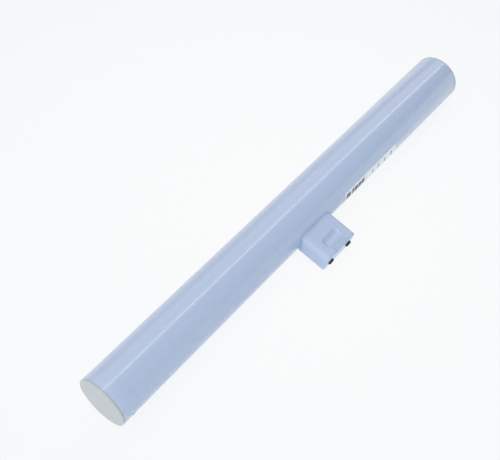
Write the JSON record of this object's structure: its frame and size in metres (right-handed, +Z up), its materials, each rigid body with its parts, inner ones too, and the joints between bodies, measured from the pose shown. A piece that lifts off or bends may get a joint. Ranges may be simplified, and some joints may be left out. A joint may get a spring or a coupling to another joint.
{
  "type": "tubular light bulb",
  "caption": "Straight opal tubular lamp with flat end caps and a flat plug base with contact studs standing out sideways at mid-length.",
  "frame": {"origin": "On the table, under the middle of the lamp's box, with the lamp lying on its tube and on the lower edge of its base", "axes": "X along the tube towards the labelled half, Z up, and the base points to -Y and a little down"},
  "size_m": [0.3, 0.0472, 0.029],
  "materials": {
    "opal_plastic": "semi-gloss opal diffuser, cool white",
    "cap_plastic": "satin moulded plastic, grey-white",
    "base_plastic": "satin moulded plastic, cool white",
    "contact_metal": "dark plated contact metal",
    "label_film": "satin film label"
  },
  "bodies": {
    "root": {"opal_tube": "opal_plastic", "near_end_cap": "cap_plastic", "far_end_cap": "cap_plastic", "lamp_base": "base_plastic", "near_contact": "contact_metal", "far_contact": "contact_metal", "rating_label": "label_film"}
  },
  "joints": []
}
